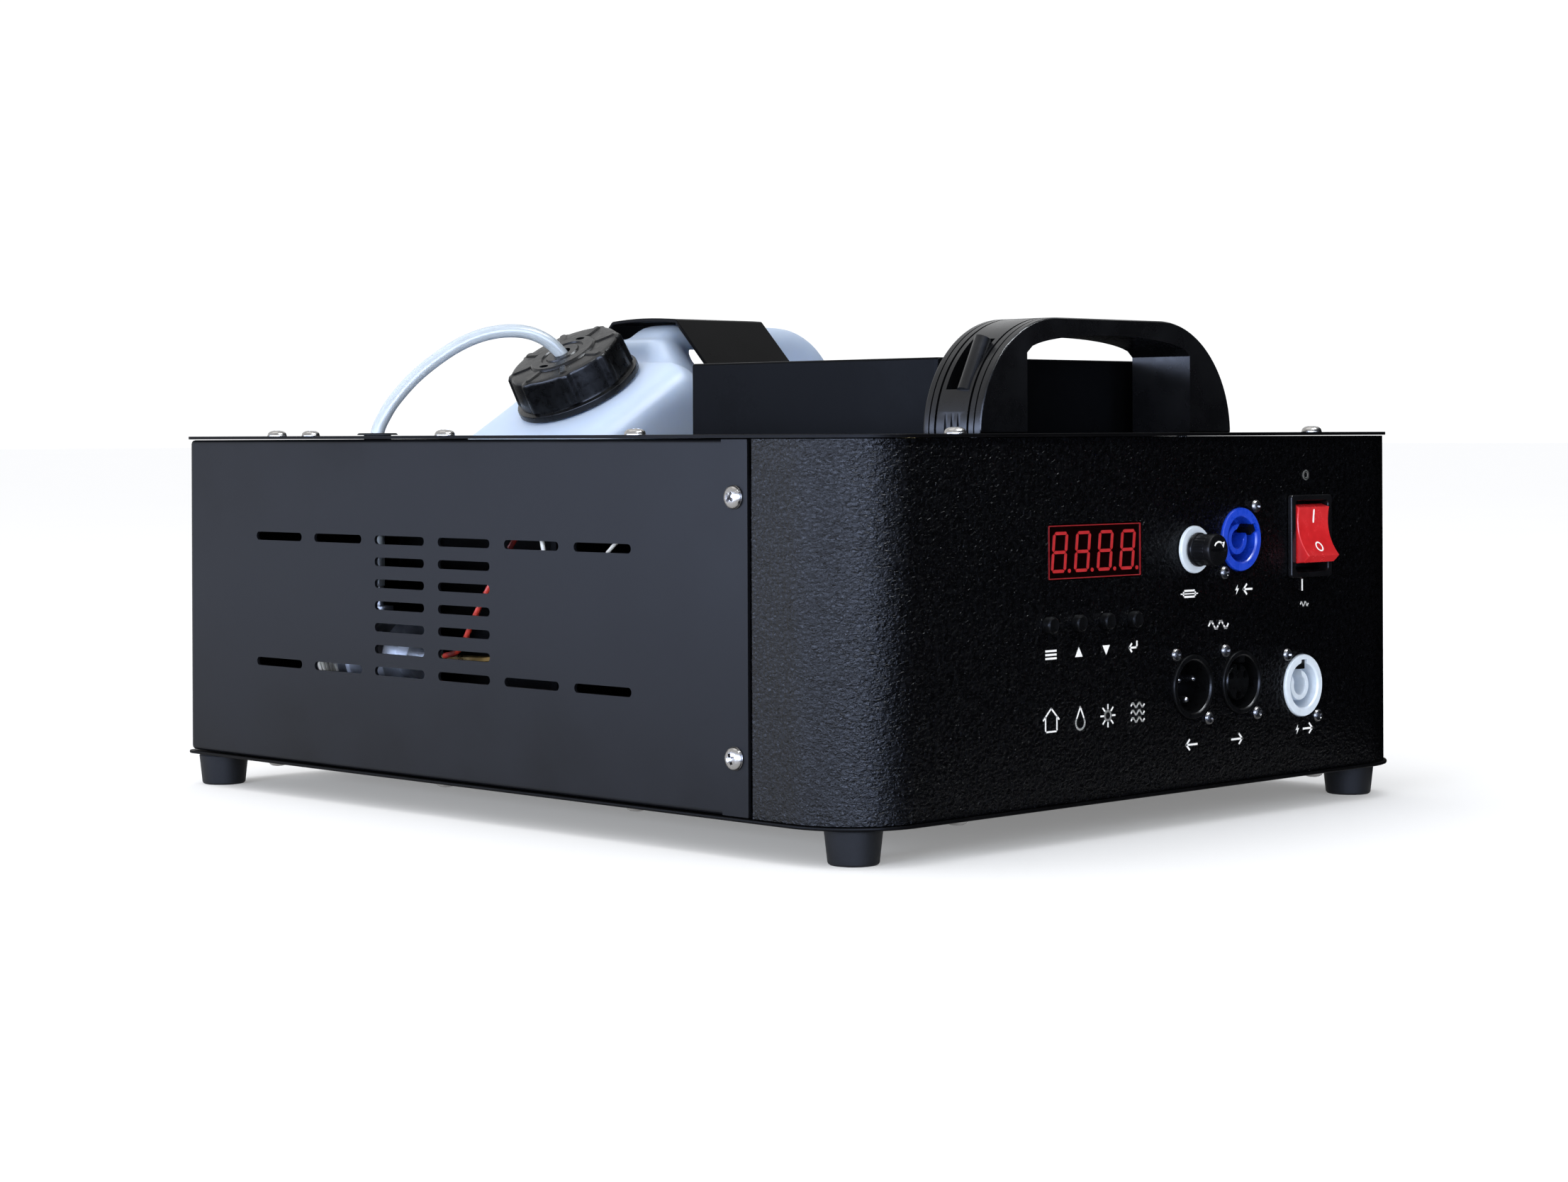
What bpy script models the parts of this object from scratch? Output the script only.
"""Fog machine: a sheet-metal case with a fluid can in a well, a raised light head and a control face.

Everything is in metres, +Z up. The control face looks towards -Y and the vented sides towards -X and
+X. Places are given with at(x, y, z), measured from the case's left side, from its control face and
from the underside of its base plate. The part stands on its feet, with the middle of its box over
the origin.
"""
import math

import bmesh
import bpy
from mathutils import Matrix, Vector

# Case
CASE_WIDTH = 0.315
CASE_LENGTH = 0.381
CASE_HEIGHT = 0.1296
SHEET = 0.0012
OVERHANG = 0.0012
FRONT_RADIUS = 0.0288
BACK_RADIUS = 0.004
FLANGE = 0.014
SEAM = 0.049
GAP = 0.0003
TAB_INSET = 0.014
TAB_BACK = 0.068
COVER_SCREW = (0.0557, 0.021)
FOOT_HEIGHT = 0.0125
FOOT_INSET_FRONT = 0.018
FOOT_INSET_BACK = 0.0102
FUSE_REACH = 0.012

# Vents in the sides of the rear cover
SLOT_FIRST = 0.123
SLOT_PITCH = 0.0388
SLOT_COLUMNS = 6
SLOT_ROWS = 7
FULL_COLUMNS = (2, 3)
SLOT_LENGTH = 0.0305
SLOT_HEIGHT = 0.0033
SLOT_BOTTOM = 0.0401
SLOT_RISE = 0.00832

# Raised light head
HEAD_CENTRE = (CASE_WIDTH / 2, 0.120)
HEAD_SIZE = (0.115, 0.130)
HEAD_HEIGHT = 0.0274
LENS_COUNT = 12
LENS_RING = 0.042
LENS_RADIUS = 0.0069
NOZZLE_HOLE = 0.016

# Fluid can, seen from the control face: x is along it, z is up, and it is thick along y
CAN_MIDDLE = 0.257
CAN_THICKNESS = 0.084
CAN_HANDLE_THICKNESS = 0.028
CAN_WALL = 0.0016
CAN_LEFT = 0.058
CAN_RIGHT = 0.246
CAN_BOTTOM = 0.010
CAN_TOP = 0.1752
CAP_TILT = math.radians(31)
CAP_CENTRE = (0.0959, 0.1630)
CAP_HEIGHT = 0.0178
NECK_RADIUS = 0.0200
NECK_BORE = 0.0170
HOSE_RADIUS = 0.0027
GROMMET = (0.032, 0.295)
PUMP_INLET_TOP = 0.070

# Well that holds the can, and the strap over it
WELL_LOW = (0.050, 0.207)
WELL_HIGH = (0.254, 0.307)
WELL_FLOOR = 0.006
WELL_SHEET = 0.001
WELL_FLANGE = 0.0045
STRAP_X = (0.140, 0.189)
STRAP_SHEET = 0.0015
STRAP_FEET = (0.1905, 0.3235)
STRAP_FOOT = 0.0160
STRAP_SCREW_INSET = 0.0100
STRAP_TOP = (0.2372, 0.2768)
STRAP_CORNER = 0.1768
STRAP_CROWN = 0.0009

# Carrying handle
HANDLE_X = (0.0864, 0.2286)
HANDLE_Y = (0.0225, 0.0500)
HANDLE_HEIGHT = 0.0413
HANDLE_RADIUS = 0.0420
HANDLE_LEG = 0.0250
HANDLE_GRIP_SPRING = 0.0285
HANDLE_GRIP_TOP = 0.0353

# Control face
DISPLAY_CENTRE = (0.1214, 0.0884)
DISPLAY_SIZE = (0.0503, 0.0190)
BUTTON_FIRST = 0.0958
BUTTON_PITCH = 0.0153
BUTTON_HEIGHT = 0.0636
BUTTON_RADIUS = 0.0030
BUTTON_NAMES = ("menu", "up", "down", "enter")
STUD_X = (0.0852, 0.1530)
STUD_Z = (0.0592, 0.1022)
SIGNAL_IN = (0.1757, 0.0376)
SIGNAL_OUT = (0.2046, 0.0376)
POWER_OUT = (0.2423, 0.0341)
POWER_IN = (0.2043, 0.0902)
CONNECTOR_RADIUS = 0.0117
FUSE = (0.1760, 0.0873)
SWITCH = (0.2462, 0.0904)
SWITCH_FLANGE = (0.0256, 0.0311)
SWITCH_BODY = (0.0214, 0.0280)
SWITCH_WELL = (0.0200, 0.0264)
SWITCH_PIVOT = 0.002
SWITCH_TILT = math.radians(14)

BOX_MIDDLE_Y = (CASE_LENGTH + OVERHANG - FUSE_REACH) / 2


def at(x, y, z):
    """A place in the part's frame, from its distances to the case's left side, control face and base."""
    return Vector((x - CASE_WIDTH / 2, y - BOX_MIDDLE_Y, z + FOOT_HEIGHT))


# Materials

def finish(name, colour, roughness, metallic=0.0, alpha=1.0):
    """A Principled material of one finish."""
    made = bpy.data.materials.new(name)
    made.use_nodes = True
    shader = made.node_tree.nodes["Principled BSDF"]
    shader.inputs["Base Color"].default_value = (*colour, 1.0)
    shader.inputs["Roughness"].default_value = roughness
    shader.inputs["Metallic"].default_value = metallic
    shader.inputs["Alpha"].default_value = alpha
    return made


# Outlines and meshes

def arc(centre, radius, start, end, steps):
    """Points along an arc, from one angle to the other in degrees."""
    points = []
    for i in range(steps + 1):
        angle = math.radians(start + (end - start) * i / steps)
        points.append((centre[0] + radius * math.cos(angle), centre[1] + radius * math.sin(angle)))
    return points


def rounded_rectangle(low, high, radius, steps=4):
    """Outline of a rectangle with round corners, anticlockwise."""
    points = []
    for x, y, start in ((low[0], low[1], 180), (high[0], low[1], 270),
                        (high[0], high[1], 0), (low[0], high[1], 90)):
        inner_x = x + (radius if x == low[0] else -radius)
        inner_y = y + (radius if y == low[1] else -radius)
        points += arc((inner_x, inner_y), radius, start, start + 90, steps)
    return points


def about(centre, size, radius, steps=4):
    """A rounded rectangle given by its centre and size."""
    low = (centre[0] - size[0] / 2, centre[1] - size[1] / 2)
    high = (centre[0] + size[0] / 2, centre[1] + size[1] / 2)
    return rounded_rectangle(low, high, radius, steps)


def case_outline(inset):
    """Plan outline of the case moved inwards: large round corners in front, tight bends behind."""
    points = []
    for x, y, radius, start, steps in ((0, 0, FRONT_RADIUS, 180, 9),
                                       (CASE_WIDTH, 0, FRONT_RADIUS, 270, 9),
                                       (CASE_WIDTH, CASE_LENGTH, BACK_RADIUS, 0, 3),
                                       (0, CASE_LENGTH, BACK_RADIUS, 90, 3)):
        bend = max(radius - inset, 0.0008)
        middle_x = inset + bend if x == 0 else x - inset - bend
        middle_y = inset + bend if y == 0 else y - inset - bend
        points += arc((middle_x, middle_y), bend, start, start + 90, steps)
    return points


def moved_inwards(outline, distance):
    """An anticlockwise outline with every side moved inwards, its corners mitred."""
    moved = []
    count = len(outline)
    for i in range(count):
        before, here, after = (Vector(outline[(i + k) % count]) for k in (-1, 0, 1))
        first = (here - before).normalized()
        second = (after - here).normalized()
        normal_a = Vector((-first.y, first.x))
        normal_b = Vector((-second.y, second.x))
        mitre = normal_a + normal_b
        mitre *= distance / (1 + normal_a.dot(normal_b))
        moved.append((here.x + mitre.x, here.y + mitre.y))
    return moved


def bent_sheet(path, thickness):
    """Section of a bent sheet: the path, and the path again a thickness to its left."""
    inner = []
    for i, point in enumerate(path):
        here = Vector(point)
        first = (here - Vector(path[i - 1])).normalized() if i else None
        second = (Vector(path[i + 1]) - here).normalized() if i + 1 < len(path) else first
        first = first or second
        normal_a = Vector((-first.y, first.x))
        normal_b = Vector((-second.y, second.x))
        mitre = (normal_a + normal_b) * (thickness / (1 + normal_a.dot(normal_b)))
        inner.append((here.x + mitre.x, here.y + mitre.y))
    return list(path) + inner[::-1]


def prism(outline, low, high, axis="Z"):
    """A solid made by extruding an outline along one axis, as (x, y), (x, z) or (y, z) points."""
    places = {"Z": lambda u, v, w: (u, v, w), "Y": lambda u, v, w: (u, w, v), "X": lambda u, v, w: (w, u, v)}
    place = places[axis]
    mesh = bmesh.new()
    bottom = [mesh.verts.new(place(u, v, low)) for u, v in outline]
    top = [mesh.verts.new(place(u, v, high)) for u, v in outline]
    mesh.faces.new(bottom)
    mesh.faces.new(top)
    for i, vertex in enumerate(bottom):
        mesh.faces.new((vertex, bottom[i - 1], top[i - 1], top[i]))
    bmesh.ops.recalc_face_normals(mesh, faces=mesh.faces)
    return mesh


def block(low, high):
    """A plain box between two corners."""
    outline = [(low[0], low[1]), (high[0], low[1]), (high[0], high[1]), (low[0], high[1])]
    return prism(outline, low[2], high[2])


def turned(profile, steps=20, ribs=0, rib_depth=0.0):
    """A solid turned about Z from (radius, height) points, or (radius, height, ribbed) points.

    A profile that starts and ends on the axis gives a solid, and any other is closed into a ring.
    """
    mesh = bmesh.new()
    rings = []
    for point in profile:
        radius, height = point[0], point[1]
        ribbed = len(point) > 2 and point[2]
        if radius == 0:
            rings.append([mesh.verts.new((0, 0, height))])
            continue
        ring = []
        for i in range(steps):
            angle = 2 * math.pi * i / steps
            reach = radius
            if ribbed:
                reach += rib_depth * max(0.0, math.cos(ribs * angle)) ** 5
            ring.append(mesh.verts.new((reach * math.cos(angle), reach * math.sin(angle), height)))
        rings.append(ring)
    pairs = list(zip(rings, rings[1:]))
    if len(rings[0]) > 1:
        pairs.append((rings[-1], rings[0]))
    for lower, upper in pairs:
        narrow, wide = sorted((lower, upper), key=len)
        if len(wide) == 1:
            continue
        if len(narrow) == 1 and narrow[0].co.z == wide[0].co.z:
            mesh.faces.new(wide)
            mesh.verts.remove(narrow[0])
            continue
        for i in range(steps):
            corners = [lower[i % len(lower)], lower[(i + 1) % len(lower)],
                       upper[(i + 1) % len(upper)], upper[i % len(upper)]]
            mesh.faces.new(list(dict.fromkeys(corners)))
    bmesh.ops.recalc_face_normals(mesh, faces=mesh.faces)
    return mesh


def rod(radius, low, high, steps=16):
    """A plain cylinder about Z."""
    return turned([(0, low), (radius, low), (radius, high), (0, high)], steps)


def placed(mesh, location, turn=None):
    """The mesh turned, when asked, and moved."""
    matrix = Matrix.Translation(Vector(location))
    if turn is not None:
        matrix = matrix @ turn.to_4x4()
    mesh.transform(matrix)
    return mesh


def together(meshes):
    """Several separate meshes as one."""
    whole = bmesh.new()
    for mesh in meshes:
        data = bpy.data.meshes.new("piece")
        mesh.to_mesh(data)
        mesh.free()
        whole.from_mesh(data)
        bpy.data.meshes.remove(data)
    return whole


# Turns that point a Z axis along another direction
FACE_OUT = Matrix.Rotation(math.radians(90), 3, "X")
FACE_IN = Matrix.Rotation(math.radians(-90), 3, "X")
FACE_LEFT = Matrix.Rotation(math.radians(-90), 3, "Y")
FACE_RIGHT = Matrix.Rotation(math.radians(90), 3, "Y")
CAP_TURN = Matrix.Rotation(-CAP_TILT, 3, "Y")


def add(name, mesh, colour, location=None, turn=None, smooth=40):
    """A named piece of the machine."""
    data = bpy.data.meshes.new(name)
    mesh.to_mesh(data)
    mesh.free()
    data.shade_smooth()
    data.set_sharp_from_angle(angle=math.radians(smooth))
    made = bpy.data.objects.new(name, data)
    bpy.context.scene.collection.objects.link(made)
    made.location = at(0, 0, 0) if location is None else location
    if turn is not None:
        made.rotation_euler = turn.to_euler()
    data.materials.append(colour)
    return made


def shape_with(piece, mesh, operation):
    """Cut a mesh from a piece or join it on. The mesh has its own place, as the piece's mesh does."""
    name = f"{piece.name}_{operation.lower()}_{len(piece.modifiers) + 1}"
    data = bpy.data.meshes.new(name)
    mesh.to_mesh(data)
    mesh.free()
    tool = bpy.data.objects.new(name, data)
    bpy.context.scene.collection.objects.link(tool)
    tool.location = piece.location
    tool.rotation_euler = piece.rotation_euler
    tool.hide_render = True
    tool.display_type = "WIRE"
    modifier = piece.modifiers.new(name, "BOOLEAN")
    modifier.operation = operation
    modifier.object = tool
    modifier.solver = "EXACT"
    return piece


def cut(piece, mesh):
    return shape_with(piece, mesh, "DIFFERENCE")


def join(piece, mesh):
    return shape_with(piece, mesh, "UNION")


def smooth_route(points, samples):
    """Points along a smooth curve through a route's own points."""
    guides = [Vector(point) for point in points]
    guides = [2 * guides[0] - guides[1]] + guides + [2 * guides[-1] - guides[-2]]
    route = []
    for i in range(1, len(guides) - 2):
        p0, p1, p2, p3 = guides[i - 1:i + 3]
        for k in range(samples):
            t = k / samples
            route.append(0.5 * (2 * p1 + (p2 - p0) * t + (2 * p0 - 5 * p1 + 4 * p2 - p3) * t ** 2
                                + (3 * p1 - p0 - 3 * p2 + p3) * t ** 3))
    route.append(guides[-2])
    return route


def tube(name, route, radius, colour, resolution=2):
    """A round tube along a route, as a curve with filled caps."""
    data = bpy.data.curves.new(name, "CURVE")
    data.dimensions = "3D"
    data.bevel_depth = radius
    data.bevel_resolution = resolution
    data.use_fill_caps = True
    spline = data.splines.new("POLY")
    spline.points.add(len(route) - 1)
    for point, place in zip(spline.points, route):
        point.co = (*place, 1.0)
    made = bpy.data.objects.new(name, data)
    bpy.context.scene.collection.objects.link(made)
    data.materials.append(colour)
    return made


# Case

def case_wall(name, colour, rounded_rims):
    """The whole wall of the case with its inward flanges, before it is cut at the seam."""
    low = SHEET + GAP
    high = CASE_HEIGHT - SHEET - GAP
    wall = prism(case_outline(0), low, high)
    if rounded_rims:
        rims = [edge for edge in wall.edges if abs(edge.verts[0].co.z - edge.verts[1].co.z) < 1e-6]
        bmesh.ops.bevel(wall, geom=rims, offset=SHEET, segments=1, profile=0.5, affect="EDGES")
    piece = add(name, wall, colour)
    cut(piece, prism(case_outline(SHEET), low + SHEET, high - SHEET))
    cut(piece, prism(case_outline(FLANGE), low - SHEET, high + SHEET))
    return piece


def stadium(centre, length, height, steps=3):
    """Outline of a slot with round ends."""
    reach = (length - height) / 2
    right = arc((centre[0] + reach, centre[1]), height / 2, -90, 90, steps)
    left = arc((centre[0] - reach, centre[1]), height / 2, 90, 270, steps)
    return right + left


def vent_slots():
    """The slots of both sides: full columns in the middle, and only a top and a bottom slot elsewhere."""
    slots = []
    for column in range(SLOT_COLUMNS):
        rows = range(SLOT_ROWS) if column in FULL_COLUMNS else (0, SLOT_ROWS - 1)
        for row in rows:
            centre = (SLOT_FIRST + column * SLOT_PITCH, SLOT_BOTTOM + row * SLOT_RISE)
            outline = stadium(centre, SLOT_LENGTH, SLOT_HEIGHT)
            slots.append(prism(outline, -SHEET, CASE_WIDTH + SHEET, "X"))
    return together(slots)


def cover_screw_holes():
    """Holes through both sides for the screws that hold the cover to the front shell."""
    along, up = COVER_SCREW
    holes = []
    for height in (up, CASE_HEIGHT - up):
        hole = rod(0.0022, -SHEET, CASE_WIDTH + SHEET, 12)
        holes.append(placed(hole, (0, along, height), FACE_RIGHT))
    return together(holes)


def rear_cover(colour):
    cover = case_wall("rear_cover", colour, True)
    cut(cover, block((-0.01, -0.01, -0.01), (CASE_WIDTH + 0.01, SEAM + GAP, CASE_HEIGHT)))
    cut(cover, vent_slots())
    cut(cover, cover_screw_holes())
    return cover


def panel_openings():
    """Openings of the control face."""
    outlines = [about(DISPLAY_CENTRE, (DISPLAY_SIZE[0] + 0.0006, DISPLAY_SIZE[1] + 0.0006), 0.0004, 1),
                about(SWITCH, (SWITCH_BODY[0] + 0.0006, SWITCH_BODY[1] + 0.0006), 0.0006, 2),
                arc(FUSE, 0.0064, 0, 340, 17)]
    for centre in (SIGNAL_IN, SIGNAL_OUT, POWER_OUT, POWER_IN):
        outlines.append(arc(centre, CONNECTOR_RADIUS + GAP, 0, 345, 23))
    for i in range(len(BUTTON_NAMES)):
        centre = (BUTTON_FIRST + i * BUTTON_PITCH, BUTTON_HEIGHT)
        outlines.append(arc(centre, BUTTON_RADIUS + GAP, 0, 330, 11))
    return together([prism(outline, -SHEET, 2 * SHEET, "Y") for outline in outlines])


def front_shell(colour):
    shell = case_wall("front_shell", colour, False)
    cut(shell, block((-0.01, SEAM, -0.01), (CASE_WIDTH + 0.01, CASE_LENGTH + 0.01, CASE_HEIGHT)))
    low, high = TAB_INSET, CASE_HEIGHT - TAB_INSET
    tabs = []
    for side in (0, 1):
        profile = [(0.0010, SEAM - 0.012), (0.0027, SEAM - 0.012), (0.0027, TAB_BACK), (0.0015, TAB_BACK),
                   (0.0015, SEAM - 0.0006), (0.0010, SEAM - 0.0006)]
        if side:
            profile = [(CASE_WIDTH - x, y) for x, y in profile][::-1]
        tabs.append(prism(profile, low, high))
    join(shell, together(tabs))
    studs = []
    for x in STUD_X:
        for z in STUD_Z:
            studs.append(placed(rod(0.0025, -0.0102, -0.0008, 12), (x, 0, z), FACE_OUT))
    join(shell, together(studs))
    cut(shell, panel_openings())
    cut(shell, cover_screw_holes())
    return shell


def strap_screw_place(y):
    return (sum(STRAP_X) / 2, y)


def handle_screw_places():
    middle_y = sum(HANDLE_Y) / 2
    return [(HANDLE_X[0] + HANDLE_LEG / 2, middle_y), (HANDLE_X[1] - HANDLE_LEG / 2, middle_y)]


def top_plate(colour):
    plate = add("top_plate", prism(case_outline(-OVERHANG), CASE_HEIGHT - SHEET, CASE_HEIGHT), colour)
    well = rounded_rectangle((WELL_LOW[0] + 0.004, WELL_LOW[1] + 0.004),
                             (WELL_HIGH[0] - 0.004, WELL_HIGH[1] - 0.004), 0.006)
    head = about(HEAD_CENTRE, (HEAD_SIZE[0] - 0.008, HEAD_SIZE[1] - 0.008), 0.003)
    holes = [well, head, arc(GROMMET, 0.0058, 0, 330, 11)]
    holes += [arc(place, 0.0023, 0, 330, 11) for place in handle_screw_places()]
    holes += [arc(strap_screw_place(y), 0.0020, 0, 330, 11) for y in strap_screw_rows()]
    low, high = CASE_HEIGHT - 2 * SHEET, CASE_HEIGHT + SHEET
    return cut(plate, together([prism(outline, low, high) for outline in holes]))


def base_plate(colour):
    return add("base_plate", prism(case_outline(-OVERHANG), 0, SHEET), colour)


def feet(colour):
    """Tapered rubber feet with a recess for their screw."""
    profile = [(0, -0.0100), (0.0045, -0.0100), (0.0045, -FOOT_HEIGHT), (0.0081, -FOOT_HEIGHT),
               (0.0086, -0.0119), (0.0100, -GAP), (0, -GAP)]
    places = {"front_left": (FOOT_INSET_FRONT, FOOT_INSET_FRONT),
              "front_right": (CASE_WIDTH - FOOT_INSET_FRONT, FOOT_INSET_FRONT),
              "back_left": (FOOT_INSET_BACK, CASE_LENGTH - FOOT_INSET_BACK),
              "back_right": (CASE_WIDTH - FOOT_INSET_BACK, CASE_LENGTH - FOOT_INSET_BACK)}
    for name, (x, y) in places.items():
        add(f"foot_{name}", turned(profile), colour, at(x, y, 0))


def screw(name, colour, location, turn, shank, head_radius=0.0041, shank_radius=0.0019):
    """A pan-head screw with its head's seat at its own origin and its shank below it."""
    profile = [(0, -shank), (shank_radius, -shank), (shank_radius, 0), (head_radius, 0),
               (head_radius, 0.0010), (0.0030, 0.0021), (0, 0.0024)]
    add(name, turned(profile, 12), colour, location, turn)


def cover_screws(colour):
    along, up = COVER_SCREW
    for side, x, turn in (("left", -GAP, FACE_LEFT), ("right", CASE_WIDTH + GAP, FACE_RIGHT)):
        for level, height in (("lower", up), ("upper", CASE_HEIGHT - up)):
            screw(f"cover_screw_{side}_{level}", colour, at(x, along, height), turn, 0.007)


# Light head

def head_housing(colour):
    """A box of bent sheet with lens holes and pillars that carry the light board."""
    low, high = CASE_HEIGHT + GAP, CASE_HEIGHT + HEAD_HEIGHT
    inner = (HEAD_SIZE[0] - 2 * SHEET, HEAD_SIZE[1] - 2 * SHEET)
    housing = add("head_housing", prism(about(HEAD_CENTRE, HEAD_SIZE, 0.0020, 3), low, high), colour)
    cut(housing, prism(about(HEAD_CENTRE, inner, 0.0008, 3), low - SHEET, high - SHEET))
    pillars = []
    for side in (-1, 1):
        for end in (-1, 1):
            place = (HEAD_CENTRE[0] + side * 0.050, HEAD_CENTRE[1] + end * 0.058, 0)
            pillars.append(placed(rod(0.0025, CASE_HEIGHT + 0.0119, high - SHEET / 2, 8), place))
    join(housing, together(pillars))
    holes = [arc(HEAD_CENTRE, NOZZLE_HOLE, 0, 345, 23)]
    holes += [arc(place, LENS_RADIUS + 2 * GAP, 0, 330, 11) for place in lens_places()]
    return cut(housing, together([prism(hole, high - 2 * SHEET, high + SHEET) for hole in holes]))


def lens_places():
    """Centres of the lenses, evenly round the nozzle."""
    places = []
    for i in range(LENS_COUNT):
        angle = 2 * math.pi * (i + 0.5) / LENS_COUNT
        places.append((HEAD_CENTRE[0] + LENS_RING * math.cos(angle),
                       HEAD_CENTRE[1] + LENS_RING * math.sin(angle)))
    return places


def light_board(colour):
    low = CASE_HEIGHT + 0.0100
    board = add("led_board", prism(about(HEAD_CENTRE, (0.108, 0.123), 0.003), low, low + 0.0016), colour)
    return cut(board, prism(arc(HEAD_CENTRE, NOZZLE_HOLE, 0, 345, 23), low - 0.001, low + 0.003))


def lens_plate(colour):
    """One clear moulding: a plate with a dome for each light."""
    low = CASE_HEIGHT + 0.0200
    plate = add("lens_plate", prism(about(HEAD_CENTRE, (0.102, 0.106), 0.004), low, low + 0.002), colour)
    dome = [(0, 0.0010), (LENS_RADIUS, 0.0010), (LENS_RADIUS, 0.0064), (0.0048, 0.0076), (0, 0.0079)]
    domes = [placed(turned(dome, 12), (x, y, low)) for x, y in lens_places()]
    join(plate, together(domes))
    return cut(plate, prism(arc(HEAD_CENTRE, NOZZLE_HOLE, 0, 345, 23), low - 0.001, low + 0.003))


def nozzle(colour):
    """Brass outlet that stands on the heater block and ends in a flared mouth."""
    foot = 0.0983
    top = CASE_HEIGHT + HEAD_HEIGHT + 0.0006
    profile = [(0, foot), (0.0130, foot), (0.0130, foot + 0.006), (0.0075, foot + 0.008),
               (0.0075, top - 0.012), (0.0140, top - 0.010), (0.0140, top - 0.001), (0.0130, top),
               (0.0085, top), (0.0036, top - 0.006), (0.0036, top - 0.018), (0, top - 0.018)]
    add("nozzle", turned(profile), colour, at(*HEAD_CENTRE, 0))


# Fog making parts

def hat_bracket(name, colour, sides, top, span, foot=0.012, sheet=0.0015):
    """A bent sheet bracket that stands on the base plate on two outward feet."""
    ground = SHEET + GAP
    left, right = sides
    path = [(left - foot, ground + sheet), (left, ground + sheet), (left, top), (right, top),
            (right, ground + sheet), (right + foot, ground + sheet)]
    return add(name, prism(bent_sheet(path, -sheet), span[0], span[1], "Y"), colour)


def heater(block_colour, bracket_colour, thermostat_colour, shield_colour):
    """Heater block on its bracket, with an inlet boss, a thermostat and a shield beside it."""
    centre_x, centre_y = HEAD_CENTRE
    body = prism(about(HEAD_CENTRE, (0.108, 0.092), 0.006), 0.042, 0.098)
    piece = add("heater_block", body, block_colour)
    boss = placed(rod(0.0055, -0.002, 0.0130, 12), (centre_x - 0.054, 0.140, 0.060), FACE_LEFT)
    ribs = []
    for i in range(5):
        z = 0.050 + i * 0.010
        ribs.append(block((centre_x - 0.050, centre_y + 0.044, z), (centre_x + 0.050, centre_y + 0.050, z + 0.003)))
    join(piece, together([boss] + ribs))
    hat_bracket("heater_bracket", bracket_colour, (centre_x - 0.040, centre_x + 0.040), 0.0415,
                (centre_y - 0.035, centre_y + 0.035))
    can = turned([(0, 0), (0.0085, 0), (0.0085, 0.006), (0.0060, 0.0075), (0, 0.0075)], 20)
    add("thermostat", can, thermostat_colour, at(centre_x - 0.020, centre_y - 0.0463, 0.072), FACE_OUT)
    path = [(0.228, 0.122), (0.228, SHEET + GAP), (0.242, SHEET + GAP)]
    add("heat_shield", prism(bent_sheet(path, 0.001), 0.062, 0.190, "Y"), shield_colour)


def pump(body_colour, bracket_colour, tube_colour):
    """Small solenoid pump beside the well, and the tube from it to the heater."""
    x, z = 0.027, 0.0435
    profile = [(0, 0.2500), (0.0032, 0.2500), (0.0032, 0.2590), (0.0085, 0.2590), (0.0085, 0.2660)]
    for i in range(3):
        start = 0.2660 + i * 0.0140
        profile += [(0.0152, start), (0.0152, start + 0.0090), (0.0136, start + 0.0090),
                    (0.0136, start + 0.0140)]
    profile += [(0.0110, 0.3090), (0.0110, 0.3250), (0.0070, 0.3250), (0.0070, 0.3330), (0, 0.3330)]
    body = placed(turned(profile, 16), (x, 0, z), FACE_IN)
    piece = add("pump", body, body_colour)
    stub = rod(0.0022, 0.0, PUMP_INLET_TOP - GAP - z, 10)
    collar = turned([(0, 0), (0.0060, 0), (0.0060, 0.0185), (0, 0.0185)], 12)
    join(piece, placed(collar, (GROMMET[0], GROMMET[1], z)))
    join(piece, placed(stub, (GROMMET[0], GROMMET[1], z)))
    hat_bracket("pump_bracket", bracket_colour, (x - 0.008, x + 0.008), 0.0279, (0.272, 0.304), 0.004)
    route = [(x, 0.2497, z), (x, 0.236, z), (x + 0.001, 0.215, z + 0.001), (x + 0.010, 0.186, z + 0.006),
             (x + 0.028, 0.158, z + 0.012), (x + 0.044, 0.143, z + 0.016), (x + 0.055, 0.140, 0.060),
             (HEAD_CENTRE[0] - 0.0673, 0.140, 0.060)]
    route = [at(*point) for point in route]
    tube("pump_outlet_tube", smooth_route(route, 4), 0.0020, tube_colour)


# Fluid can

def can_side(inset):
    """Outline of the can's body along x and z, with its neck shoulder sloping down to the left."""
    outline = [(CAN_LEFT, CAN_BOTTOM), (CAN_RIGHT, CAN_BOTTOM)]
    outline += arc((CAN_RIGHT - 0.022, 0.126), 0.022, 0, 90, 5)
    outline += [(0.170, 0.1475), (0.142, 0.1485)]
    slope = math.tan(CAP_TILT)
    outline += [(0.134, 0.1560), (0.126, 0.1593)]
    outline += [(CAN_LEFT + 0.008, 0.1593 - slope * (0.126 - CAN_LEFT - 0.008)), (CAN_LEFT, 0.114)]
    return moved_inwards(outline, inset)


def can_handle_side():
    """Outline of the can's own handle: a column behind the neck, a bar, and a round right end."""
    outline = [(0.120, 0.140), (CAN_RIGHT - 0.004, 0.132)]
    outline += arc((0.2095, CAN_TOP - 0.0355), 0.0355, 0, 90, 7)
    outline += arc((0.1520, CAN_TOP - 0.0155), 0.0155, 90, 160, 4)
    outline += [(0.131, 0.1600)]
    return outline


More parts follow.
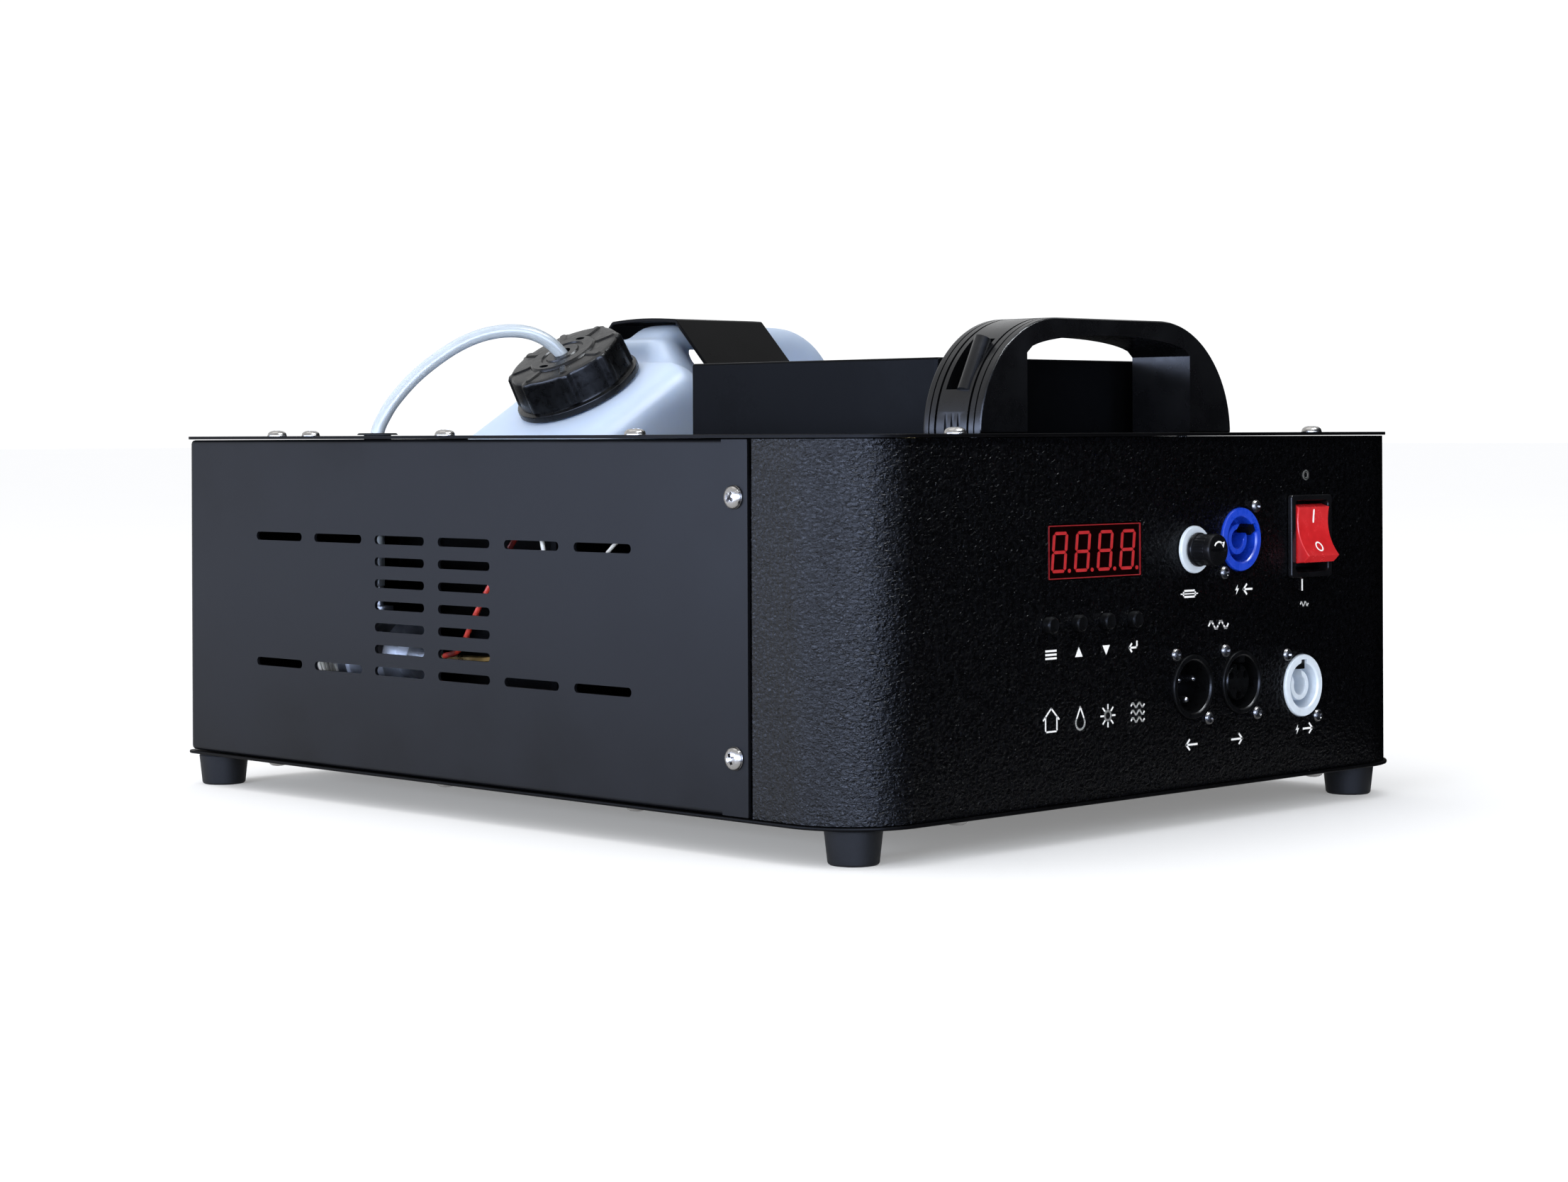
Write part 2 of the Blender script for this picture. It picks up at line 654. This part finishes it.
def rounded_prism(outline, low, high, radius, segments):
    """A prism along y of an anticlockwise (x, z) outline, with its two outer rims rounded."""
    sections = []
    for k in range(segments + 1):
        angle = math.pi / 2 * k / segments
        sections.append((radius * (1 - math.cos(angle)), radius * (1 - math.sin(angle))))
    rings = []
    mesh = bmesh.new()
    for y, inset in [(low + along, inset) for along, inset in sections] + \
                    [(high - along, inset) for along, inset in reversed(sections)]:
        rings.append([mesh.verts.new((x, y, z)) for x, z in moved_inwards(outline, inset)])
    mesh.faces.new(rings[0])
    mesh.faces.new(rings[-1])
    for lower, upper in zip(rings, rings[1:]):
        for i, vertex in enumerate(lower):
            mesh.faces.new((vertex, lower[i - 1], upper[i - 1], upper[i]))
    bmesh.ops.recalc_face_normals(mesh, faces=mesh.faces)
    return mesh


def cap_axis_point(distance):
    """A place on the cap's axis, that far above the middle of its top."""
    return (CAP_CENTRE[0] - distance * math.sin(CAP_TILT), CAN_MIDDLE, CAP_CENTRE[1] + distance * math.cos(CAP_TILT))


def fluid_can(colour):
    half = CAN_THICKNESS / 2
    grip = CAN_HANDLE_THICKNESS / 2
    body = rounded_prism(can_side(0), CAN_MIDDLE - half, CAN_MIDDLE + half, 0.0100, 4)
    can = add("fluid_can", body, colour)
    join(can, rounded_prism(can_handle_side(), CAN_MIDDLE - grip, CAN_MIDDLE + grip, 0.0070, 3))
    neck = rod(NECK_RADIUS, -0.0240, -0.0036, 32)
    join(can, placed(neck, cap_axis_point(0), CAP_TURN))
    hole = [(0.151, 0.1655), (0.1590, 0.1570), (0.163, 0.1545), (0.198, 0.1545), (0.203, 0.1580),
            (0.204, 0.1615), (0.201, 0.1655)]
    cut(can, prism(hole, CAN_MIDDLE - half, CAN_MIDDLE + half, "Y"))
    inside = half - CAN_WALL
    cut(can, rounded_prism(can_side(CAN_WALL), CAN_MIDDLE - inside, CAN_MIDDLE + inside, 0.0084, 3))
    cut(can, placed(rod(NECK_BORE, -0.0330, 0.0, 32), cap_axis_point(0), CAP_TURN))
    return can


def can_cap(colour):
    """Screw cap with ribs round it, a flange below and a raised ring round the hose."""
    skirt = -CAP_HEIGHT
    profile = [(0.0036, 0.0000), (0.0138, 0.0000), (0.0142, -0.0010), (0.0222, -0.0010, True),
               (0.0236, -0.0022, True), (0.0240, skirt + 0.0032, True), (0.0262, skirt + 0.0026),
               (0.0262, skirt), (0.0206, skirt), (0.0206, -0.0032), (0.0036, -0.0032)]
    cap = turned(profile, 48, 8, 0.0012)
    add("can_cap", cap, colour, at(*cap_axis_point(0)), CAP_TURN)


def pickup_tube(colour):
    """Stiff tube down the middle of the neck, with a filter at its end."""
    length = 0.150
    profile = [(0, -length), (0.0060, -length), (0.0060, -length + 0.018), (0.0025, -length + 0.020),
               (0.0025, -0.0090), (0, -0.0090)]
    add("pickup_tube", turned(profile, 14), colour, at(*cap_axis_point(0)), CAP_TURN)


def feed_hose(colour):
    """Clear hose from the cap over to the grommet in the top plate and down to the pump."""
    route = [cap_axis_point(-0.0085), cap_axis_point(-0.0050), (0.0953, 0.2575, 0.1630),
             (0.0901, 0.2595, 0.1677), (0.0834, 0.2631, 0.1709), (0.0755, 0.2682, 0.1715),
             (0.0676, 0.2735, 0.1697), (0.0598, 0.2782, 0.1658), (0.0520, 0.2829, 0.1599),
             (0.0444, 0.2875, 0.1525), (0.0379, 0.2912, 0.1441), (0.0344, 0.2933, 0.1378),
             (0.0321, 0.2951, 0.1309), (0.0313, 0.2956, 0.1197), (GROMMET[0], GROMMET[1], 0.1030),
             (GROMMET[0], GROMMET[1], 0.0860), (GROMMET[0], GROMMET[1], PUMP_INLET_TOP)]
    route = [at(*point) for point in route]
    tube("feed_hose", smooth_route(route, 2), HOSE_RADIUS, colour)


def hose_grommet(colour):
    plate_low, plate_high = CASE_HEIGHT - SHEET, CASE_HEIGHT
    profile = [(0.0040, plate_low - 0.0020), (0.0080, plate_low - 0.0020), (0.0080, plate_low - GAP),
               (0.0053, plate_low - GAP), (0.0053, plate_high + GAP), (0.0080, plate_high + GAP),
               (0.0074, plate_high + 0.0011), (0.0040, plate_high + 0.0011)]
    add("hose_grommet", turned(profile, 20), colour, at(*GROMMET, 0))


def can_well(colour):
    """Sheet box that hangs under the top plate by a flange and holds the can."""
    under_plate = CASE_HEIGHT - SHEET - GAP
    well = add("can_well", prism(rounded_rectangle(WELL_LOW, WELL_HIGH, 0.003, 2), WELL_FLOOR, under_plate), colour)
    low = [value - WELL_FLANGE for value in WELL_LOW]
    high = [value + WELL_FLANGE for value in WELL_HIGH]
    join(well, prism(rounded_rectangle(low, high, 0.004, 2), under_plate - WELL_SHEET, under_plate))
    low = [value + WELL_SHEET for value in WELL_LOW]
    high = [value - WELL_SHEET for value in WELL_HIGH]
    return cut(well, prism(rounded_rectangle(low, high, 0.002, 2), WELL_FLOOR + WELL_SHEET, under_plate + 0.01))


def strap_screw_rows():
    return (STRAP_FEET[0] + STRAP_SCREW_INSET, STRAP_FEET[1] - STRAP_SCREW_INSET)


def can_strap(colour, screw_colour):
    """Bent strap over the can's handle: a crowned top, two sloping legs and two inward feet."""
    ground = CASE_HEIGHT + GAP
    top = []
    for i in range(9):
        t = i / 8
        y = STRAP_TOP[0] + (STRAP_TOP[1] - STRAP_TOP[0]) * t
        top.append((y, STRAP_CORNER + 4 * STRAP_CROWN * t * (1 - t)))
    path = [(STRAP_FEET[0] + STRAP_FOOT, ground), (STRAP_FEET[0], ground)] + top
    path += [(STRAP_FEET[1], ground), (STRAP_FEET[1] - STRAP_FOOT, ground)]
    section = bent_sheet(path, -STRAP_SHEET)
    strap = add("can_strap", prism(section, STRAP_X[0], STRAP_X[1], "X"), colour, smooth=25)
    holes = []
    for y in strap_screw_rows():
        x, _ = strap_screw_place(y)
        holes.append(placed(rod(0.0021, -0.001, 0.004, 12), (x, y, ground)))
    cut(strap, together(holes))
    for name, y in zip(("front", "back"), strap_screw_rows()):
        place = at(*strap_screw_place(y), ground + STRAP_SHEET + GAP)
        screw(f"strap_screw_{name}", screw_colour, place, None, 0.0050, 0.0034, 0.0016)


# Carrying handle

def handle_outline(grow):
    """Outer outline of the handle from its right foot over the top to its left foot."""
    radius = HANDLE_RADIUS + grow
    spring = CASE_HEIGHT + HANDLE_HEIGHT - HANDLE_RADIUS
    left, right = HANDLE_X[0] + HANDLE_RADIUS, HANDLE_X[1] - HANDLE_RADIUS
    return arc((right, spring), radius, 3, 90, 8) + arc((left, spring), radius, 90, 177, 8)


def handle(colour, screw_colour):
    """Moulded arch with grooved edges, a pocket in each end and a low grip opening."""
    low, high = HANDLE_Y
    ground = CASE_HEIGHT + GAP
    outline = [(HANDLE_X[0], ground), (HANDLE_X[1], ground)] + handle_outline(0)
    piece = add("carry_handle", rounded_prism(outline, low, high, 0.0008, 1), colour)
    middle = sum(HANDLE_X) / 2
    half = (HANDLE_X[1] - HANDLE_X[0]) / 2 - HANDLE_LEG
    spring, top = CASE_HEIGHT + HANDLE_GRIP_SPRING, CASE_HEIGHT + HANDLE_GRIP_TOP
    rise = top - spring
    grip = [(middle - half, ground - 0.005), (middle + half, ground - 0.005)]
    for i in range(9):
        t = 1 - i / 4
        grip.append((middle + half * t, spring + rise * (1 - t * t)))
    cut(piece, prism(grip, low - 0.001, high + 0.001, "Y"))
    outer = handle_outline(0.002)
    inner = handle_outline(-0.0011)
    edge = [(HANDLE_X[1] + 0.002, ground - 0.001)] + outer + [(HANDLE_X[0] - 0.002, ground - 0.001)]
    edge += [(HANDLE_X[0] + 0.0011, ground - 0.001)] + inner[::-1] + [(HANDLE_X[1] - 0.0011, ground - 0.001)]
    grooves = []
    for start in (low + 0.0022, low + 0.0054, high - 0.0068, high - 0.0036):
        grooves.append(prism(edge, start, start + 0.0014, "Y"))
    cut(piece, together(grooves))
    pockets = []
    for x0, x1 in ((HANDLE_X[0] - 0.001, HANDLE_X[0] + 0.0150), (HANDLE_X[1] - 0.0150, HANDLE_X[1] + 0.001)):
        pockets.append(block((x0, low + 0.0085, ground + 0.0155), (x1, high - 0.0085, ground + 0.0300)))
    cut(piece, together(pockets))
    bolts = [placed(rod(0.0023, -0.001, 0.0125, 12), (x, y, ground)) for x, y in handle_screw_places()]
    cut(piece, together(bolts))
    for name, (x, y) in zip(("left", "right"), handle_screw_places()):
        place = at(x, y, CASE_HEIGHT - SHEET - GAP)
        turn = Matrix.Rotation(math.pi, 3, "X")
        screw(f"handle_screw_{name}", screw_colour, place, turn, 0.0120)


# Control face

def display(board_colour, window_colour):
    low = (STUD_X[0] - 0.006, 0.0105, STUD_Z[0] - 0.006)
    high = (STUD_X[1] + 0.006, 0.0121, STUD_Z[1] + 0.006)
    board = add("display_board", block(low, high), board_colour)
    switches = []
    for i in range(len(BUTTON_NAMES)):
        x = BUTTON_FIRST + i * BUTTON_PITCH
        switches.append(block((x - 0.003, 0.0070, BUTTON_HEIGHT - 0.003), (x + 0.003, 0.0113, BUTTON_HEIGHT + 0.003)))
    join(board, together(switches))
    window = prism(about(DISPLAY_CENTRE, DISPLAY_SIZE, 0.0003, 1), 0.0005, 0.0102, "Y")
    add("led_display", window, window_colour)


def buttons(colour):
    """Round button caps with a collar behind the face."""
    profile = [(0, -0.0058), (BUTTON_RADIUS, -0.0058), (BUTTON_RADIUS, -0.0030), (0.0040, -0.0030),
               (0.0040, -0.0020), (BUTTON_RADIUS, -0.0020), (BUTTON_RADIUS, 0.0026), (0.0026, 0.0030), (0, 0.0030)]
    for i, name in enumerate(BUTTON_NAMES):
        place = at(BUTTON_FIRST + i * BUTTON_PITCH, 0, BUTTON_HEIGHT)
        add(f"button_{name}", turned(profile, 16), colour, place, FACE_OUT)


def connector_body(name, colour, place, cavity, depth):
    """Round connector whose square flange sits behind the face and whose nose stands through it.

    Its own z axis points out of the face, and the face is at z = 0.
    """
    front, back = 0.0010, -0.0260
    body = turned([(0, back), (0.0105, back), (CONNECTOR_RADIUS, -0.0040), (CONNECTOR_RADIUS, front - 0.0006),
                   (CONNECTOR_RADIUS - 0.0006, front), (0, front)], 28)
    piece = add(name, body, colour, at(place[0], 0, place[1]), FACE_OUT)
    flange = prism(about((0, 0), (0.0260, 0.0310), 0.0030, 2), -0.0035, -0.0015)
    join(piece, flange)
    cut(piece, turned([(0, front - depth), (cavity, front - depth), (cavity, front - 0.0008),
                       (cavity + 0.0008, front + 0.0002), (0, front + 0.0002)], 28))
    return piece


def contact_places():
    """The three contacts of a signal socket, round its axis."""
    angles = [math.radians(degrees) for degrees in (30, 150, 270)]
    return [(0.0049 * math.cos(angle), 0.0049 * math.sin(angle), 0) for angle in angles]


def signal_sockets(colour):
    """Three-pin input with a pin carrier in its well, and output with a drilled insert."""
    connector_body("signal_in", colour, SIGNAL_IN, 0.0095, 0.0150)
    pins = [placed(rod(0.0012, -0.0130, -0.0022, 8), place) for place in contact_places()]
    carrier = add("signal_in_insert", rod(0.0091, -0.0137, -0.0122, 24), colour,
                  at(SIGNAL_IN[0], 0, SIGNAL_IN[1]), FACE_OUT)
    join(carrier, together(pins))
    connector_body("signal_out", colour, SIGNAL_OUT, 0.0097, 0.0150)
    insert = add("signal_out_insert", rod(0.0067, -0.0137, -0.0012, 24), colour,
                 at(SIGNAL_OUT[0], 0, SIGNAL_OUT[1]), FACE_OUT)
    cut(insert, together([placed(rod(0.0013, -0.0110, 0.0, 8), place) for place in contact_places()]))


def power_socket(name, colour, place, turn_degrees):
    """Twist-lock mains socket: a slotted ring of contacts inside a keyed sleeve."""
    socket = connector_body(name, colour, place, 0.0084, 0.0140)
    key_turn = Matrix.Rotation(math.pi / 2, 3, "Z")
    cut(socket, placed(block((0.0075, -0.0014, -0.0080), (0.0098, 0.0014, 0.0020)), (0, 0, 0), key_turn))
    ring = [(0.0034, -0.0127), (0.0058, -0.0127), (0.0058, -0.0012), (0.0034, -0.0012)]
    post = add(f"{name}_post", turned(ring, 20), colour, at(place[0], 0, place[1]), FACE_OUT)
    slot_turn = Matrix.Rotation(math.radians(turn_degrees), 3, "Z")
    cut(post, placed(block((0.0001, -0.0016, -0.0090), (0.0072, 0.0016, 0.0005)), (0, 0, 0), slot_turn))


def fuse_holder(holder_colour, cap_colour, fuse_colour):
    """Panel fuse holder, its pull-out cap and the cartridge that comes out with it.

    Their own z axis points out of the face, and the face is at z = 0.
    """
    place = at(FUSE[0], 0, FUSE[1])
    body = [(0, -0.0330), (0.0060, -0.0330), (0.0060, GAP), (0.0086, GAP), (0.0086, 0.0012), (0.0080, 0.0018),
            (0.0054, 0.0018), (0.0054, -0.0150), (0.0031, -0.0150), (0.0031, -0.0300), (0, -0.0300)]
    add("fuse_holder", turned(body, 24), holder_colour, place, FACE_OUT)
    cap = [(0.0029, -0.0140), (0.0048, -0.0140), (0.0048, 0.0022), (0.0062, 0.0022), (0.0062, 0.0060),
           (0.0057, 0.0064), (0.0057, 0.0113), (0.0050, FUSE_REACH), (0, FUSE_REACH), (0, -0.0050),
           (0.0029, -0.0050)]
    add("fuse_cap", turned(cap, 24), cap_colour, place, FACE_OUT)
    cartridge = [(0, -0.0258), (0.0025, -0.0258), (0.0025, -0.0056), (0, -0.0056)]
    add("fuse_cartridge", turned(cartridge, 12), fuse_colour, place, FACE_OUT)


def power_switch(bezel_colour, rocker_colour):
    """Rocker switch at rest with its upper half pressed in.

    The bezel's own z axis points out of the face. The rocker's origin is on its pivot.
    """
    centre = (0, 0)
    bezel = add("switch_bezel", prism(about(centre, SWITCH_FLANGE, 0.0012, 2), GAP, 0.0020),
                bezel_colour, at(SWITCH[0], 0, SWITCH[1]), FACE_OUT)
    join(bezel, prism(about(centre, SWITCH_BODY, 0.0008, 2), -0.0240, 0.0010))
    terminals = []
    for z in (-0.008, 0.0, 0.008):
        terminals.append(block((-0.0032, z - 0.0004, -0.0320), (0.0032, z + 0.0004, -0.0230)))
    join(bezel, together(terminals))
    cut(bezel, prism(about(centre, SWITCH_WELL, 0.0010, 2), -0.0120, 0.0030))
    face = [(-0.0112, 0.0072), (-0.0060, 0.0058), (0.0, 0.0052), (0.0060, 0.0058), (0.0112, 0.0072),
            (0.0106, 0.0005), (0.0050, -0.0040), (-0.0050, -0.0040), (-0.0106, 0.0005)]
    outline = [(-depth, height) for height, depth in face]
    half = (SWITCH_WELL[0] - 2 * GAP) / 2
    rocker = prism(outline, -half, half, "X")
    tilt = Matrix.Rotation(-SWITCH_TILT, 3, "X")
    add("switch_rocker", rocker, rocker_colour, at(SWITCH[0], SWITCH_PIVOT, SWITCH[1]), tilt, 30)


# Electronics

def control_board(colour):
    """Board on the right side, with relays, capacitors and plugs on its inner face."""
    board = add("control_board", block((0.3000, 0.085, 0.016), (0.3016, 0.245, 0.112)), colour)
    parts = []
    for i in range(3):
        y = 0.095 + i * 0.024
        parts.append(block((0.284, y, 0.024), (0.3008, y + 0.019, 0.040)))
    for i in range(4):
        parts.append(placed(rod(0.0050, -0.0180, 0.0008, 14), (0.3000, 0.180 + i * 0.013, 0.034), FACE_RIGHT))
    for i in range(2):
        parts.append(block((0.292, 0.100 + i * 0.050, 0.060), (0.3008, 0.130 + i * 0.050, 0.070)))
    parts.append(block((0.296, 0.150, 0.086), (0.3008, 0.176, 0.102)))
    return join(board, together(parts))


def power_supply(colour):
    """Caged supply for the lights, standing behind the well."""
    cage = add("power_supply", block((0.070, 0.322, SHEET + GAP), (0.236, 0.364, 0.040)), colour)
    vents = []
    for i in range(12):
        x = 0.082 + i * 0.0125
        vents.append(block((x, 0.330, 0.0385), (x + 0.004, 0.356, 0.045)))
    return cut(cage, together(vents))


def terminal_block(colour):
    block_body = add("terminal_block", block((0.252, 0.060, SHEET + GAP), (0.296, 0.078, 0.018)), colour)
    wells = []
    for i in range(4):
        wells.append(placed(rod(0.0032, 0.0, 0.006, 12), (0.2585 + i * 0.0105, 0.069, 0.0150)))
    return cut(block_body, together(wells))


def build():
    for old in list(bpy.data.objects):
        bpy.data.objects.remove(old, do_unlink=True)
    case_black = finish("case_black", (0.030, 0.031, 0.036), 0.42)
    grained_black = finish("grained_black", (0.018, 0.019, 0.023), 0.50)
    moulded_black = finish("moulded_black", (0.012, 0.012, 0.013), 0.28)
    rubber_black = finish("rubber_black", (0.010, 0.010, 0.010), 0.70)
    nickel = finish("nickel", (0.62, 0.60, 0.56), 0.25, 1.0)
    milky = finish("milky_plastic", (0.60, 0.70, 0.84), 0.35)
    clear_hose = finish("clear_hose", (0.78, 0.82, 0.88), 0.30)
    clear_lens = finish("clear_lens", (0.90, 0.92, 0.94), 0.05, 0.0, 0.5)
    blue = finish("blue_plastic", (0.004, 0.050, 0.600), 0.30)
    grey = finish("pale_grey_plastic", (0.52, 0.56, 0.62), 0.35)
    red = finish("red_plastic", (0.600, 0.012, 0.015), 0.25)
    window = finish("display_window", (0.030, 0.004, 0.004), 0.20)
    board_green = finish("board_green", (0.010, 0.120, 0.050), 0.50)
    brass = finish("brass", (0.70, 0.50, 0.20), 0.30, 1.0)
    cast = finish("cast_aluminium", (0.55, 0.55, 0.56), 0.55, 1.0)
    zinc = finish("zinc_sheet", (0.60, 0.61, 0.62), 0.40, 1.0)
    white = finish("white_plastic", (0.80, 0.80, 0.78), 0.40)

    base_plate(case_black)
    top_plate(case_black)
    front_shell(grained_black)
    rear_cover(case_black)
    feet(rubber_black)
    cover_screws(nickel)
    head_housing(case_black)
    light_board(board_green)
    lens_plate(clear_lens)
    nozzle(brass)
    heater(cast, zinc, zinc, zinc)
    pump(white, zinc, brass)
    can_well(case_black)
    fluid_can(milky)
    can_cap(moulded_black)
    pickup_tube(white)
    feed_hose(clear_hose)
    hose_grommet(rubber_black)
    can_strap(case_black, nickel)
    handle(moulded_black, nickel)
    display(board_green, window)
    buttons(moulded_black)
    signal_sockets(moulded_black)
    power_socket("power_in", blue, POWER_IN, 20)
    power_socket("power_out", grey, POWER_OUT, 20)
    fuse_holder(grey, moulded_black, white)
    power_switch(moulded_black, red)
    control_board(board_green)
    power_supply(zinc)
    terminal_block(white)


build()
